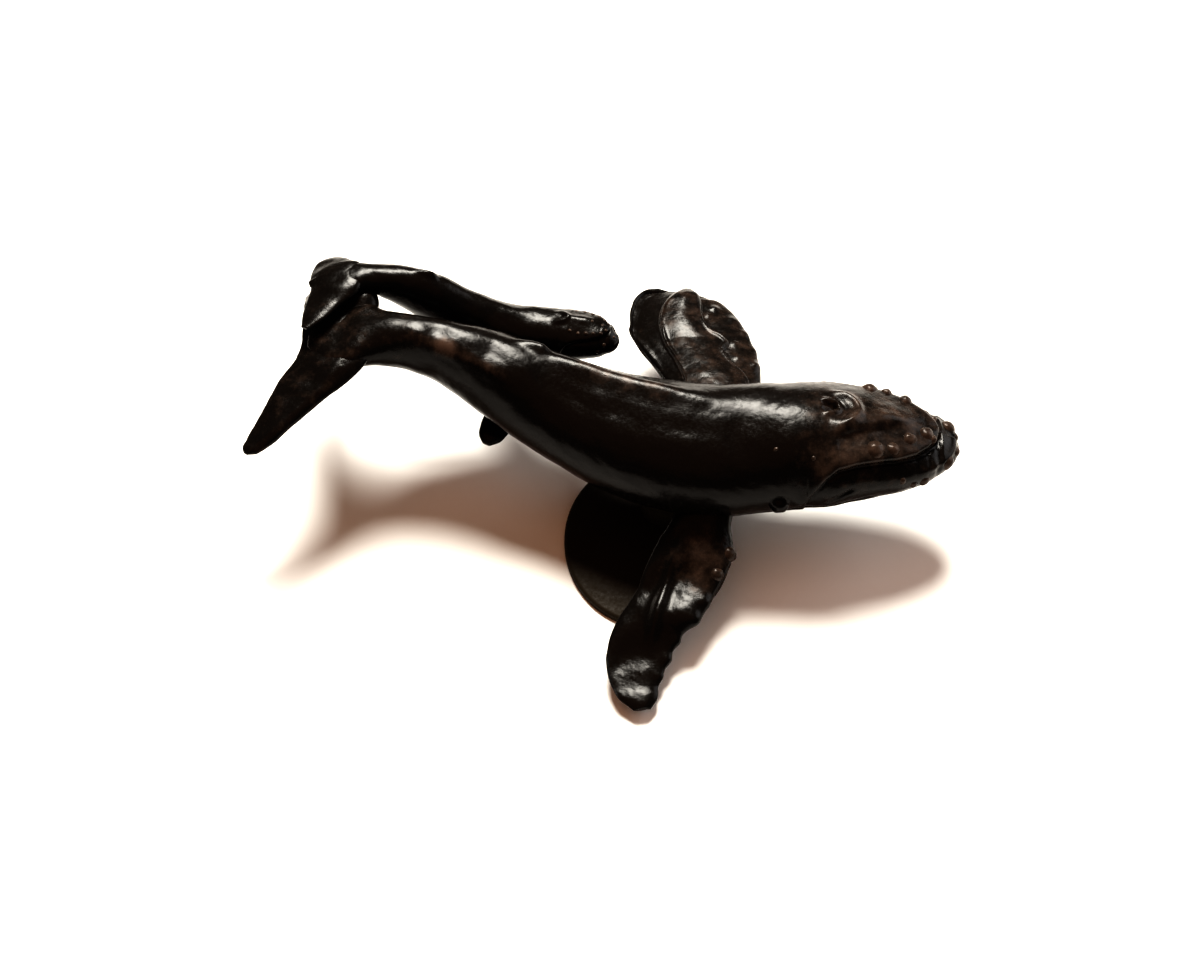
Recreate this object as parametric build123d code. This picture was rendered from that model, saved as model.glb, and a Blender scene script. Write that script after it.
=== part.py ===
from build123d import *
import math
import os

os.makedirs("parts", exist_ok=True)

# A cast bronze humpback cow with its calf, standing on an oval foot. Millimetres, +X towards the cow's head,
# +Z up, origin at the centre of the foot plate's underside.

# Foot plate, post and screw
foot_length = 23.2
foot_width = 29.2
foot_thickness = 1.1
foot_edge_radius = 0.45
post_x = 3.0
post_y = 5.6
post_diameter = 8.0
post_spigot_diameter = 6.8
belly_seat_height = 7.0
screw_diameter = 3.0
screw_head_diameter = 5.4
screw_head_height = 1.5
screw_head_recess = 0.2
screw_length = 12.0

# Fits between separate castings, pins and bores
seam_gap = 0.08
pin_clearance = 0.05
bore_clearance = 0.15

# Cow's trunk, snout to fluke root: along, sideways, height, half width, half depth
cow_trunk = [
    (41.8, 5.7, 13.5, 0.7, 0.5),
    (40.9, 5.7, 13.6, 2.6, 1.7),
    (38.0, 5.7, 13.8, 5.2, 3.3),
    (35.0, 5.7, 14.0, 6.7, 4.3),
    (30.0, 5.7, 14.3, 8.1, 5.6),
    (24.0, 5.5, 14.4, 9.1, 6.6),
    (16.0, 5.2, 14.2, 9.3, 7.5),
    (8.0, 4.8, 14.0, 9.6, 7.9),
    (0.0, 6.3, 14.2, 9.0, 7.8),
    (-8.0, 9.4, 14.8, 7.8, 7.0),
    (-15.0, 12.7, 16.1, 6.6, 6.4),
    (-22.0, 15.9, 18.1, 5.3, 5.6),
    (-29.0, 17.8, 20.2, 3.7, 4.5),
    (-35.0, 18.5, 21.3, 3.6, 3.7),
    (-39.5, 18.8, 21.8, 4.8, 2.4),
    (-43.5, 19.1, 22.1, 4.8, 1.3),
    (-46.2, 19.2, 22.1, 2.8, 0.6),
]

# Cow's flukes, left tip to right tip: place, half chord, half thickness
cow_flukes = [
    (-47.2, 33.6, 15.2, 0.4, 0.3),
    (-46.8, 32.8, 16.2, 1.3, 0.7),
    (-45.8, 31.0, 18.6, 2.3, 0.9),
    (-44.4, 28.4, 21.0, 3.6, 1.1),
    (-43.2, 25.2, 22.6, 4.3, 1.3),
    (-42.3, 21.7, 22.5, 5.0, 1.4),
    (-42.3, 16.9, 22.1, 5.0, 1.4),
    (-44.1, 13.2, 21.2, 4.3, 1.2),
    (-46.7, 10.1, 20.3, 3.6, 1.1),
    (-50.1, 5.4, 18.8, 2.3, 0.9),
    (-52.4, 2.5, 17.7, 1.3, 0.7),
    (-53.3, 1.3, 17.4, 0.4, 0.3),
]

# Marks on the cow's skin: along, and degrees from the crown of the head
crown_angle = 94.0
mouth_half = [
    (21.6, 84.0),
    (22.7, 72.0),
    (24.6, 61.0),
    (29.4, 56.0),
    (33.0, 52.0),
    (36.0, 42.0),
    (38.0, 24.0),
]
mouth_front = (38.8, 0.0)
mouth_radius = 0.6
guard_half = [(22.0, 21.0), (25.1, 18.0), (26.7, 10.0)]
guard_front = (27.2, 0.0)
guard_radius = 0.6
eye_mark = (16.6, 104.0)
eye_radius = 0.9
lip_knob_marks = [(29.2, 40.0), (31.7, 40.0), (34.0, 26.0), (36.7, 16.0)]
lip_knob_radius = 0.75
jaw_knob_marks = [(36.7, 108.0), (39.9, 74.0)]
jaw_knob_radius = 0.7

# Cow's dorsal hump
dorsal_along = -16.0
dorsal_length = 7.0
dorsal_width = 2.0
dorsal_rise = 1.0
dorsal_turn = -23.0
dorsal_slope = 16.0

# Cow's right flipper, root to tip: place, half chord, half thickness, and the crest along its arm bone
right_flipper_pitch = -6.0
right_flipper = [
    (8.2, 0.6, 10.8, 3.9, 2.4),
    (7.0, -3.7, 9.4, 3.9, 2.2),
    (6.2, -7.0, 8.0, 5.0, 1.9),
    (4.4, -10.4, 6.6, 5.0, 1.65),
    (2.6, -13.7, 5.3, 4.7, 1.45),
    (0.6, -16.2, 4.4, 4.2, 1.3),
    (-0.9, -18.6, 3.6, 4.2, 1.15),
    (-1.8, -20.9, 2.9, 4.0, 1.05),
    (-2.2, -23.2, 2.4, 3.6, 0.9),
    (-2.1, -25.3, 1.9, 2.9, 0.75),
    (-1.7, -26.9, 1.6, 1.9, 0.6),
    (-1.3, -28.1, 1.4, 0.7, 0.4),
]
right_flipper_crest = [
    (6.2, -3.0, 9.6, 2.0, 1.6),
    (4.2, -7.5, 8.4, 1.9, 1.6),
    (2.4, -11.4, 7.0, 1.7, 1.4),
    (1.3, -14.4, 5.8, 1.5, 1.3),
    (0.0, -19.3, 3.9, 1.3, 1.1),
    (-0.5, -22.4, 2.8, 1.0, 0.9),
    (-0.7, -24.5, 2.2, 0.5, 0.6),
]

# Cow's left flipper, root to tip, and the arm raised along its middle
left_flipper_pitch = 4.0
left_flipper = [
    (8.6, 10.0, 11.2, 4.2, 2.4),
    (9.3, 15.5, 10.7, 5.6, 2.0),
    (9.3, 21.2, 10.6, 7.0, 1.6),
    (7.9, 26.6, 10.4, 7.8, 1.4),
    (6.3, 30.2, 10.3, 8.2, 1.25),
    (5.0, 33.8, 10.0, 7.7, 1.1),
    (3.9, 36.9, 9.8, 6.0, 0.95),
    (3.6, 39.2, 9.5, 4.1, 0.75),
    (3.8, 40.3, 9.4, 1.8, 0.45),
]
left_flipper_arm = [
    (8.8, 11.0, 11.4, 3.6, 2.6),
    (9.2, 20.5, 11.4, 4.5, 2.3),
    (7.6, 25.6, 11.3, 4.2, 2.1),
    (5.9, 29.2, 11.2, 3.7, 1.9),
    (5.2, 33.0, 11.0, 3.2, 1.7),
    (5.3, 36.4, 10.6, 2.7, 1.4),
    (5.6, 39.0, 10.1, 1.2, 0.7),
]

# Knobs along the leading edges of the cow's flippers
edge_knob_count = 6
edge_knob_radius = 1.1
edge_knob_inset = 0.5
edge_knob_taper = 0.4

# Calf's trunk, snout to fluke root, and its flukes, left tip to right tip
calf_trunk = [
    (-4.0, 22.4, 17.4, 0.5, 0.5),
    (-4.6, 22.4, 17.3, 1.6, 1.3),
    (-6.0, 22.7, 17.2, 2.7, 2.2),
    (-8.6, 23.3, 17.0, 3.5, 2.9),
    (-13.0, 24.2, 16.6, 3.9, 3.3),
    (-19.0, 24.9, 16.6, 3.8, 3.6),
    (-25.0, 25.8, 18.9, 3.2, 3.3),
    (-30.5, 26.8, 22.2, 2.5, 2.8),
    (-35.5, 27.4, 24.2, 1.8, 1.9),
    (-39.5, 26.9, 25.0, 2.2, 1.2),
    (-42.5, 26.2, 25.0, 2.4, 0.8),
    (-44.6, 25.8, 24.9, 1.5, 0.4),
]
calf_flukes = [
    (-43.6, 31.3, 24.4, 0.4, 0.3),
    (-43.5, 30.6, 24.6, 1.4, 0.5),
    (-43.2, 29.0, 24.8, 2.5, 0.65),
    (-42.3, 26.7, 25.0, 3.2, 0.85),
    (-42.3, 24.8, 24.9, 2.7, 0.8),
    (-43.6, 22.4, 24.8, 2.0, 0.65),
    (-45.0, 19.5, 24.7, 1.4, 0.5),
    (-46.3, 17.4, 24.6, 0.5, 0.3),
]

# Calf's flippers, root to tip
calf_right_flipper = [
    (-15.8, 23.6, 14.6, 1.9, 1.1),
    (-17.6, 20.6, 11.9, 2.1, 0.9),
    (-20.0, 16.6, 9.4, 2.2, 0.75),
    (-21.8, 13.0, 8.2, 1.6, 0.6),
    (-22.3, 11.8, 7.9, 0.7, 0.35),
]
calf_left_flipper = [
    (-15.4, 25.8, 15.4, 1.9, 1.1),
    (-17.2, 28.4, 15.0, 2.1, 0.9),
    (-20.2, 30.8, 14.2, 2.2, 0.75),
    (-23.2, 32.6, 13.1, 1.6, 0.6),
    (-24.4, 33.1, 12.7, 0.7, 0.35),
]
calf_flipper_pitch = 10.0

# Pins that key the castings together, a flipper pin's middle set back into the body by a share of its length
pin_setback_share = 0.25
cow_pin_diameter = 2.0
cow_pin_length = 8.0
calf_pin_diameter = 1.0
calf_pin_length = 4.0
flank_pin_diameter = 1.6
flank_pin_length = 6.0
flank_pin_along = -21.0
fluke_pin_diameter = 1.0
fluke_pin_length = 3.0
fluke_pin_top = 25.3
fluke_pin_along = -43.0
fluke_pin_sideways = 25.7


def planes_along(places, pitch=0.0):
    """Planes square to a row of places, each with its x axis level, then turned by the pitch."""
    planes = []
    for i, here in enumerate(places):
        before = Vector(*places[max(i - 1, 0)])
        after = Vector(*places[min(i + 1, len(places) - 1)])
        run = (after - before).normalized()
        level = Vector(0, 0, 1).cross(run).normalized()
        planes.append(Plane(origin=here, x_dir=level, z_dir=run).rotated((0, 0, pitch)))
    return planes


def oval(plane, half_width, half_depth):
    """A smooth closed section of an upper and a lower arc, wide along the plane's x and deep along its y."""
    slant = math.sqrt(0.5)
    shoulder = (half_width * slant, half_depth * slant)
    over = [(half_width, 0), shoulder, (0, half_depth), (-shoulder[0], shoulder[1]), (-half_width, 0)]
    under = [(-across_x, -across_y) for across_x, across_y in over]
    upper = Spline(*over, tangents=((0, 1), (0, -1)))
    lower = Spline(*under, tangents=((0, -1), (0, 1)))
    return plane * make_face(Wire([upper, lower]))


def limb(rows, pitch=0.0, grow=0.0):
    """A solid lofted through ovals."""
    planes = planes_along([row[:3] for row in rows], pitch)
    return loft([oval(plane, row[3] + grow, row[4] + grow) for plane, row in zip(planes, rows)])


def row_at(rows, along):
    """The trunk's row at a place along X, between the two rows that stand beside it."""
    along = min(max(along, rows[-1][0]), rows[0][0])
    for ahead, behind in zip(rows, rows[1:]):
        if along >= behind[0]:
            share = (along - ahead[0]) / (behind[0] - ahead[0])
            return [a + share * (b - a) for a, b in zip(ahead, behind)]


def skin_point(rows, along, angle):
    """A place on the trunk's skin, at an angle up from its right side."""
    x, y, z, half_width, half_depth = row_at(rows, along)
    turn = math.radians(angle)
    return Vector(x, y - half_width * math.cos(turn), z + half_depth * math.sin(turn))


def head_point(mark, side):
    """A place on the cow's head at degrees from the crown, on the right side (1) or the left (-1)."""
    along, from_crown = mark
    return skin_point(cow_trunk, along, crown_angle - side * from_crown)


def bead(half_marks, front, radius):
    """A round bar along the head's skin, from the right side round the front to the left."""
    places = [head_point(mark, 1) for mark in half_marks]
    places.append(head_point(front, 1))
    places.extend(head_point(mark, -1) for mark in half_marks[::-1])
    line = Spline(*places)
    return sweep(Plane(origin=line @ 0, z_dir=line % 0) * Circle(radius), path=line)


def join(body, pieces):
    """A casting with small pieces added to it one after the other."""
    for piece in pieces:
        body = body + piece
    return body


def rod(start, end, diameter):
    """A round bar between two places."""
    run = Vector(*end) - Vector(*start)
    plane = Plane(origin=start, z_dir=run.normalized())
    return plane * Cylinder(diameter / 2, run.length, align=(Align.CENTER, Align.CENTER, Align.MIN))


def root_pin(rows, length, diameter):
    """A pin along a flipper's root, half of it in the body that carries the flipper."""
    start = Vector(*rows[0][:3])
    run = (Vector(*rows[1][:3]) - start).normalized()
    seat = Vector(*rows[1][:3]) - run * (length * pin_setback_share)
    return rod(seat - run * (length / 2), seat + run * (length / 2), diameter)


def edge_knob_row(rows, pitch, count, radius):
    """Round knobs along a flipper's leading edge, from palm to tip, each smaller than the one before."""
    planes = planes_along([row[:3] for row in rows], pitch)
    edge = []
    for plane, row in zip(planes[1:], rows[1:]):
        reach = row[3] - edge_knob_inset
        edge.append(plane.from_local_coords((math.copysign(reach, plane.x_dir.X), 0, 0)))
    line = Spline(*edge)
    knobs = []
    for step in range(count):
        share = (step + 1) / (count + 1)
        outward = Plane(origin=line @ share, z_dir=(line % share).cross(Vector(0, 0, 1)))
        knobs.append(outward * Sphere(radius * (1 - edge_knob_taper * share)))
    return knobs


# Cow's casting: trunk and flukes first, because the other castings are fitted to them
cow_trunk_solid = limb(cow_trunk)
cow_fluke_solid = limb(cow_flukes)
cow_fitting_face = limb(cow_trunk, grow=seam_gap)
cow_fluke_face = limb(cow_flukes, grow=seam_gap)

# Pins, each with the bore that it needs in the castings
right_pin = root_pin(right_flipper, cow_pin_length, cow_pin_diameter)
left_pin = root_pin(left_flipper, cow_pin_length, cow_pin_diameter)
cow_pin_bore = cow_pin_diameter + pin_clearance
right_bore = root_pin(right_flipper, cow_pin_length + bore_clearance, cow_pin_bore)
left_bore = root_pin(left_flipper, cow_pin_length + bore_clearance, cow_pin_bore)

cow_flank = Vector(*row_at(cow_trunk, flank_pin_along)[:3])
calf_flank = Vector(*row_at(calf_trunk, flank_pin_along)[:3])
flank_run = (calf_flank - cow_flank).normalized()
flank_seat = cow_flank + flank_run * (row_at(cow_trunk, flank_pin_along)[3] + seam_gap)
flank_half = flank_run * (flank_pin_length / 2)
flank_half_bore = flank_run * ((flank_pin_length + bore_clearance) / 2)
flank_pin = rod(flank_seat - flank_half, flank_seat + flank_half, flank_pin_diameter)
flank_bore_diameter = flank_pin_diameter + pin_clearance
flank_bore = rod(flank_seat - flank_half_bore, flank_seat + flank_half_bore, flank_bore_diameter)

fluke_pin_place = Vector(fluke_pin_along, fluke_pin_sideways, fluke_pin_top)
fluke_pin_foot = fluke_pin_place - Vector(0, 0, fluke_pin_length)
fluke_pin_end = fluke_pin_foot - Vector(0, 0, bore_clearance)
fluke_pin = rod(fluke_pin_foot, fluke_pin_place, fluke_pin_diameter)
fluke_bore = rod(fluke_pin_end, fluke_pin_place, fluke_pin_diameter + pin_clearance)

# Cow's head: mouth cut round the upper jaw, splash guard, eyes and rows of knobs
mouth = bead(mouth_half, mouth_front, mouth_radius)
splash_guard = bead(guard_half, guard_front, guard_radius)
head_knobs = []
for side in (1, -1):
    head_knobs.append(Pos(*head_point(eye_mark, side)) * Sphere(eye_radius))
    for mark in lip_knob_marks:
        head_knobs.append(Pos(*head_point(mark, side)) * Sphere(lip_knob_radius))
    for mark in jaw_knob_marks:
        head_knobs.append(Pos(*head_point(mark, side)) * Sphere(jaw_knob_radius))

dorsal_top = skin_point(cow_trunk, dorsal_along, 90)
dorsal_hump = scale(Sphere(1), (dorsal_length / 2, dorsal_width / 2, dorsal_rise * 2))
dorsal_hump = Rot(0, dorsal_slope, dorsal_turn) * dorsal_hump
dorsal_hump = Pos(dorsal_top.X, dorsal_top.Y, dorsal_top.Z - dorsal_rise) * dorsal_hump

seat_bore = Pos(post_x, post_y, 0) * Cylinder(
    (post_diameter + bore_clearance) / 2, belly_seat_height, align=(Align.CENTER, Align.CENTER, Align.MIN)
)
screw_top = screw_head_recess + screw_length
screw_bore_top = screw_top + bore_clearance
screw_bore = rod((post_x, post_y, 0), (post_x, post_y, screw_bore_top), screw_diameter + pin_clearance)

cow_body = join(cow_trunk_solid - mouth, [cow_fluke_solid, dorsal_hump, splash_guard, *head_knobs])
cow_body = cow_body - seat_bore - screw_bore - right_bore - left_bore - flank_bore - fluke_bore

# Cow's flippers, each with its root shaped to the flank
cow_right_flipper = limb(right_flipper, pitch=right_flipper_pitch)
cow_right_flipper += limb(right_flipper_crest, pitch=right_flipper_pitch)
cow_right_flipper = cow_right_flipper - cow_fitting_face - right_bore
right_knobs = edge_knob_row(right_flipper, right_flipper_pitch, edge_knob_count, edge_knob_radius)
cow_right_flipper = join(cow_right_flipper, right_knobs)

cow_left_flipper = limb(left_flipper, pitch=left_flipper_pitch)
cow_left_flipper += limb(left_flipper_arm, pitch=left_flipper_pitch)
cow_left_flipper = cow_left_flipper - cow_fitting_face - left_bore
left_knobs = edge_knob_row(left_flipper, left_flipper_pitch, edge_knob_count, edge_knob_radius)
cow_left_flipper = join(cow_left_flipper, left_knobs)

# Calf's casting, fitted to the cow's flank
calf_trunk_solid = limb(calf_trunk)
calf_fitting_face = limb(calf_trunk, grow=seam_gap)
calf_right_pin = root_pin(calf_right_flipper, calf_pin_length, calf_pin_diameter)
calf_left_pin = root_pin(calf_left_flipper, calf_pin_length, calf_pin_diameter)
calf_pin_bore = calf_pin_diameter + pin_clearance
calf_right_bore = root_pin(calf_right_flipper, calf_pin_length + bore_clearance, calf_pin_bore)
calf_left_bore = root_pin(calf_left_flipper, calf_pin_length + bore_clearance, calf_pin_bore)

calf_body = calf_trunk_solid + limb(calf_flukes)
calf_body = calf_body - cow_fitting_face - cow_fluke_face
calf_body = calf_body - calf_right_bore - calf_left_bore - flank_bore - fluke_bore

calf_right = limb(calf_right_flipper, pitch=-calf_flipper_pitch) - calf_fitting_face - calf_right_bore
calf_left = limb(calf_left_flipper, pitch=calf_flipper_pitch) - calf_fitting_face - calf_left_bore

# Foot: plate, post with a spigot through the plate, countersunk screw from below
plate_outline = Ellipse(foot_length / 2, foot_width / 2)
foot_plate = extrude(plate_outline, foot_thickness)
foot_plate = fillet(foot_plate.edges().group_by(Axis.Z)[-1], foot_edge_radius)
spigot_bore_diameter = post_spigot_diameter + pin_clearance
foot_plate -= rod((post_x, post_y, 0), (post_x, post_y, foot_thickness), spigot_bore_diameter)

foot_post = rod((post_x, post_y, 0), (post_x, post_y, belly_seat_height), post_spigot_diameter)
foot_post += rod((post_x, post_y, foot_thickness), (post_x, post_y, belly_seat_height), post_diameter)
screw_head = Cone(
    screw_head_diameter / 2,
    screw_diameter / 2,
    screw_head_height,
    align=(Align.CENTER, Align.CENTER, Align.MIN),
)
foot_screw = Pos(post_x, post_y, screw_head_recess) * screw_head
foot_screw += rod((post_x, post_y, screw_head_recess), (post_x, post_y, screw_top), screw_diameter)
countersink = Cone(
    (screw_head_diameter + bore_clearance) / 2,
    (screw_diameter + bore_clearance) / 2,
    screw_head_height,
    align=(Align.CENTER, Align.CENTER, Align.MIN),
)
recess = rod((post_x, post_y, 0), (post_x, post_y, screw_head_recess), screw_head_diameter + bore_clearance)
foot_post = foot_post - screw_bore - recess - Pos(post_x, post_y, screw_head_recess) * countersink

nodes = {
    "cow_body": cow_body,
    "cow_right_flipper": cow_right_flipper,
    "cow_left_flipper": cow_left_flipper,
    "calf_body": calf_body,
    "calf_right_flipper": calf_right,
    "calf_left_flipper": calf_left,
    "foot_plate": foot_plate,
    "foot_post": foot_post,
    "foot_screw": foot_screw,
    "cow_flipper_pins": Compound(children=[right_pin, left_pin]),
    "calf_flipper_pins": Compound(children=[calf_right_pin, calf_left_pin]),
    "calf_flank_pin": flank_pin,
    "calf_fluke_pin": fluke_pin,
}
for name, shape in nodes.items():
    export_step(shape, f"parts/{name}.step")
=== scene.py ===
import math

import bpy
import numpy as np
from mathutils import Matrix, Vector
from mathutils.kdtree import KDTree


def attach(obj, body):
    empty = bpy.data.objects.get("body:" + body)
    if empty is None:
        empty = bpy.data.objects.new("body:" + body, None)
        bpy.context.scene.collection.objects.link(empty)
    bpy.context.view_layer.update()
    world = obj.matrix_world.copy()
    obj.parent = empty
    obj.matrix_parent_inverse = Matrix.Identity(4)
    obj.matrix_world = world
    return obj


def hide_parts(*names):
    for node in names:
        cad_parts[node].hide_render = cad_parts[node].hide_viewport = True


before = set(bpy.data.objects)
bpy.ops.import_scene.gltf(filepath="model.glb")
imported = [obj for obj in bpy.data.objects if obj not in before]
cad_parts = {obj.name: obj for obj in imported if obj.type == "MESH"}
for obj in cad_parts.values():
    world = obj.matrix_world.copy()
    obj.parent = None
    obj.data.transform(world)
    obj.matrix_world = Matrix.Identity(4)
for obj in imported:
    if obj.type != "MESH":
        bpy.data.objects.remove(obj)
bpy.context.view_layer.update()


# Foot plate, post and screw. The plate is an oval of cast bronze with a rounded rim, patinated with the
# whales. A turned bronze post stands on it under the cow's belly, and one steel screw from below holds the
# three together.
MM = 0.001


def linear(colour):
    """A hex sRGB colour as linear red, green, blue and alpha."""
    parts = [int(colour[i:i + 2], 16) / 255 for i in (1, 3, 5)]
    return (*[c / 12.92 if c <= 0.04045 else ((c + 0.055) / 1.055) ** 2.4 for c in parts], 1.0)


def add_node(tree, kind, feeds=None, **settings):
    """One node with its settings, and with its inputs set to values or linked to other nodes' outputs."""
    made = tree.nodes.new(kind)
    for name, value in settings.items():
        setattr(made, name, value)
    for socket, value in (feeds or {}).items():
        if isinstance(value, bpy.types.NodeSocket):
            tree.links.new(value, made.inputs[socket])
        else:
            made.inputs[socket].default_value = value
    return made


def patinated_bronze(name, dark="#0d0a08", worn_and_sheen="#4c3d34", shine=0.13, rough=0.22):
    """Cast bronze under a brown-black patina and wax: nearly black in the flat, with a satin shine broken up
    by the grain of the casting. It is lighter brown where handling has rubbed the high places and where a
    warm sheen is painted on. A point attribute gives each point's share of rubbing and of painted sheen."""
    mottle_mm = 2.0
    mottle_share = 1.1
    grain_mm = 0.45
    grain_depth_mm = 0.03
    grain_gloss = 0.3
    bare_metal_share = 0.2
    rubbed_dullness = 0.1
    material = bpy.data.materials.new(name)
    material.use_nodes = True
    tree = material.node_tree
    tree.nodes.clear()
    place = add_node(tree, "ShaderNodeTexCoord").outputs["Object"]
    mottle = add_node(
        tree,
        "ShaderNodeTexNoise",
        {"Vector": place, "Scale": 1 / (mottle_mm * MM), "Detail": 6.0, "Roughness": 0.65},
    ).outputs["Fac"]
    grain = add_node(
        tree,
        "ShaderNodeTexNoise",
        {"Vector": place, "Scale": 1 / (grain_mm * MM), "Detail": 4.0, "Roughness": 0.6},
    ).outputs["Fac"]
    rub_and_sheen = add_node(tree, "ShaderNodeAttribute", attribute_name="rub_and_sheen").outputs["Fac"]
    speck = add_node(tree, "ShaderNodeMath", {0: mottle, 1: 0.5}, operation="SUBTRACT").outputs[0]
    uneven = add_node(
        tree, "ShaderNodeMath", {0: speck, 1: mottle_share, 2: rub_and_sheen}, operation="MULTIPLY_ADD"
    ).outputs[0]
    wear_and_sheen = add_node(
        tree,
        "ShaderNodeMapRange",
        {"Value": uneven, "From Min": 0.2, "From Max": 1.0},
        interpolation_type="SMOOTHSTEP",
    ).outputs[0]
    colour = add_node(
        tree, "ShaderNodeMix", {0: wear_and_sheen, 6: linear(dark), 7: linear(worn_and_sheen)}, data_type="RGBA"
    ).outputs[2]
    bare = add_node(tree, "ShaderNodeMath", {0: wear_and_sheen, 1: bare_metal_share}, operation="MULTIPLY").outputs[0]
    gloss = add_node(
        tree,
        "ShaderNodeMapRange",
        {
            "Value": grain,
            "From Min": 0.3,
            "From Max": 0.7,
            "To Min": (1 - grain_gloss) * rough,
            "To Max": (1 + grain_gloss) * rough,
        },
    ).outputs[0]
    dull = add_node(
        tree, "ShaderNodeMath", {0: wear_and_sheen, 1: rubbed_dullness, 2: gloss}, operation="MULTIPLY_ADD"
    ).outputs[0]
    bump = add_node(
        tree, "ShaderNodeBump", {"Height": grain, "Strength": 1.0, "Distance": grain_depth_mm * MM}
    ).outputs[0]
    metal = add_node(
        tree,
        "ShaderNodeBsdfPrincipled",
        {
            "Base Color": colour,
            "Metallic": bare,
            "Roughness": dull,
            "Normal": bump,
            "Specular IOR Level": shine,
        },
    )
    add_node(tree, "ShaderNodeOutputMaterial", {"Surface": metal.outputs[0]})
    return material


def machined_steel(name):
    """Turned steel of a screw or pin: bright grey metal, dulled by fine tool marks."""
    mark_mm = 0.2
    material = bpy.data.materials.new(name)
    material.use_nodes = True
    tree = material.node_tree
    tree.nodes.clear()
    place = add_node(tree, "ShaderNodeTexCoord").outputs["Object"]
    marks = add_node(
        tree, "ShaderNodeTexNoise", {"Vector": place, "Scale": 1 / (mark_mm * MM), "Detail": 3.0}
    ).outputs["Fac"]
    gloss = add_node(tree, "ShaderNodeMapRange", {"Value": marks, "To Min": 0.25, "To Max": 0.5}).outputs[0]
    metal = add_node(
        tree,
        "ShaderNodeBsdfPrincipled",
        {"Base Color": linear("#9b9a96"), "Metallic": 1.0, "Roughness": gloss},
    )
    add_node(tree, "ShaderNodeOutputMaterial", {"Surface": metal.outputs[0]})
    return material


def show_in(material, *names):
    """The CAD nodes of these names, shown in a material."""
    for name in names:
        node_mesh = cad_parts[name].data
        node_mesh.materials.clear()
        node_mesh.materials.append(material)


# Paler brown-grey than the whales' patina, partly painted sheen: it stands in for the window's reflection on
# the plate's flat top, which the low shine leaves out.
foot_bronze_with_painted_sheen = patinated_bronze("patinated bronze, foot", dark="#2a241c", shine=0.05, rough=0.5)
steel = machined_steel("machined steel")
show_in(foot_bronze_with_painted_sheen, "foot_plate", "foot_post")
show_in(steel, "foot_screw")


# Cow's body. One bronze casting from a wax that was modelled by hand: snout, trunk, tail stock and flukes.
# Mouth, blowholes, eyes and throat grooves were cut or raised in the wax. The patina is rubbed brown on the
# high places, and the brown of the head is partly a painted warm sheen.
def flow(rows, shares):
    """Rows read at shares of their run, 0 to 1, on one smooth curve through all of them."""
    rows = np.array(rows, float)
    steps = np.linalg.norm(np.diff(rows[:, :3], axis=0), axis=1)
    run = np.concatenate([[0], np.cumsum(steps)])
    slope = np.gradient(rows, run, axis=0)
    at = np.asarray(shares) * run[-1]
    i = np.clip(np.searchsorted(run, at, side="right") - 1, 0, len(steps) - 1)
    t = ((at - run[i]) / steps[i])[:, None]
    step = steps[i][:, None]
    start = (1 + 2 * t) * (1 - t) ** 2 * rows[i] + t * (1 - t) ** 2 * step * slope[i]
    end = t * t * (3 - 2 * t) * rows[i + 1] - t * t * (1 - t) * step * slope[i + 1]
    return start + end


def section_axes(line, pitch=0.0):
    """The level and upright directions of the sections that stand square to a line, turned by the pitch."""
    run = np.gradient(line[:, :3], axis=0)
    run /= np.linalg.norm(run, axis=1, keepdims=True)
    level = np.cross([0.0, 0.0, 1.0], run)
    level /= np.linalg.norm(level, axis=1, keepdims=True)
    upright = np.cross(run, level)
    across = math.cos(math.radians(pitch))
    up = math.sin(math.radians(pitch))
    return level * across + upright * up, upright * across - level * up


def ring_angles(around):
    """The angles of a ring's points in radians, from its level side over its top."""
    return np.linspace(0, 2 * math.pi, around, endpoint=False)


def limb_rings(rows, shares, around, pitch=0.0, lead=1, thin=0.0, square=2.0):
    """Closed rings along a limb, whose rows give place, half width and half depth, and the depth below where
    it differs. On a blade the edge away from the leading one is thinner by the share given."""
    line = flow(rows, shares)
    level, upright = section_axes(line, pitch)
    angle = ring_angles(around)
    wide = np.sign(np.cos(angle)) * np.abs(np.cos(angle)) ** (2 / square)
    deep = np.sign(np.sin(angle)) * np.abs(np.sin(angle)) ** (2 / square)
    deep = deep * (1 - thin * (1 - lead * wide) / 2)
    depth = np.where(deep > 0, line[:, 4:5], line[:, -1:]) * deep
    width = line[:, 3:4] * wide
    return line[:, None, :3] + level[:, None] * width[..., None] + upright[:, None] * depth[..., None]


def ring_normals(rings):
    """The outward direction at each point of a limb's skin."""
    along = np.gradient(rings, axis=0)
    round_it = np.roll(rings, -1, axis=1) - np.roll(rings, 1, axis=1)
    normal = np.cross(round_it, along)
    return normal / np.maximum(np.linalg.norm(normal, axis=-1, keepdims=True), 1e-9)


def smooth_step(value, start, end):
    """0 before start, 1 after end, with a soft change between."""
    share = np.clip((value - start) / (end - start), 0, 1)
    return share * share * (3 - 2 * share)


def swell(points, place, radius, height):
    """A round swelling about a place, or a hollow where the height is negative."""
    far = np.linalg.norm(points - np.asarray(place), axis=-1)
    return height * np.exp(-((far / radius) ** 2))


def path_distance(points, path, reach):
    """How far each point lies from a path of places, up to the reach, and the share of the path beside it."""
    far = np.full(points.shape[:-1], float(reach))
    beside = np.zeros(points.shape[:-1])
    near = ((points > path.min(0) - reach) & (points < path.max(0) + reach)).all(-1)
    close = points[near]
    best = np.full(len(close), float(reach))
    share_at = np.zeros(len(close))
    for step, (a, b) in enumerate(zip(path, path[1:])):
        run = b - a
        share = np.clip((close - a) @ run / max(run @ run, 1e-12), 0, 1)
        gap = np.linalg.norm(close - a - share[:, None] * run, axis=1)
        share_at = np.where(gap < best, (step + share) / (len(path) - 1), share_at)
        best = np.minimum(best, gap)
    far[near] = best
    beside[near] = share_at
    return far, beside


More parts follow.
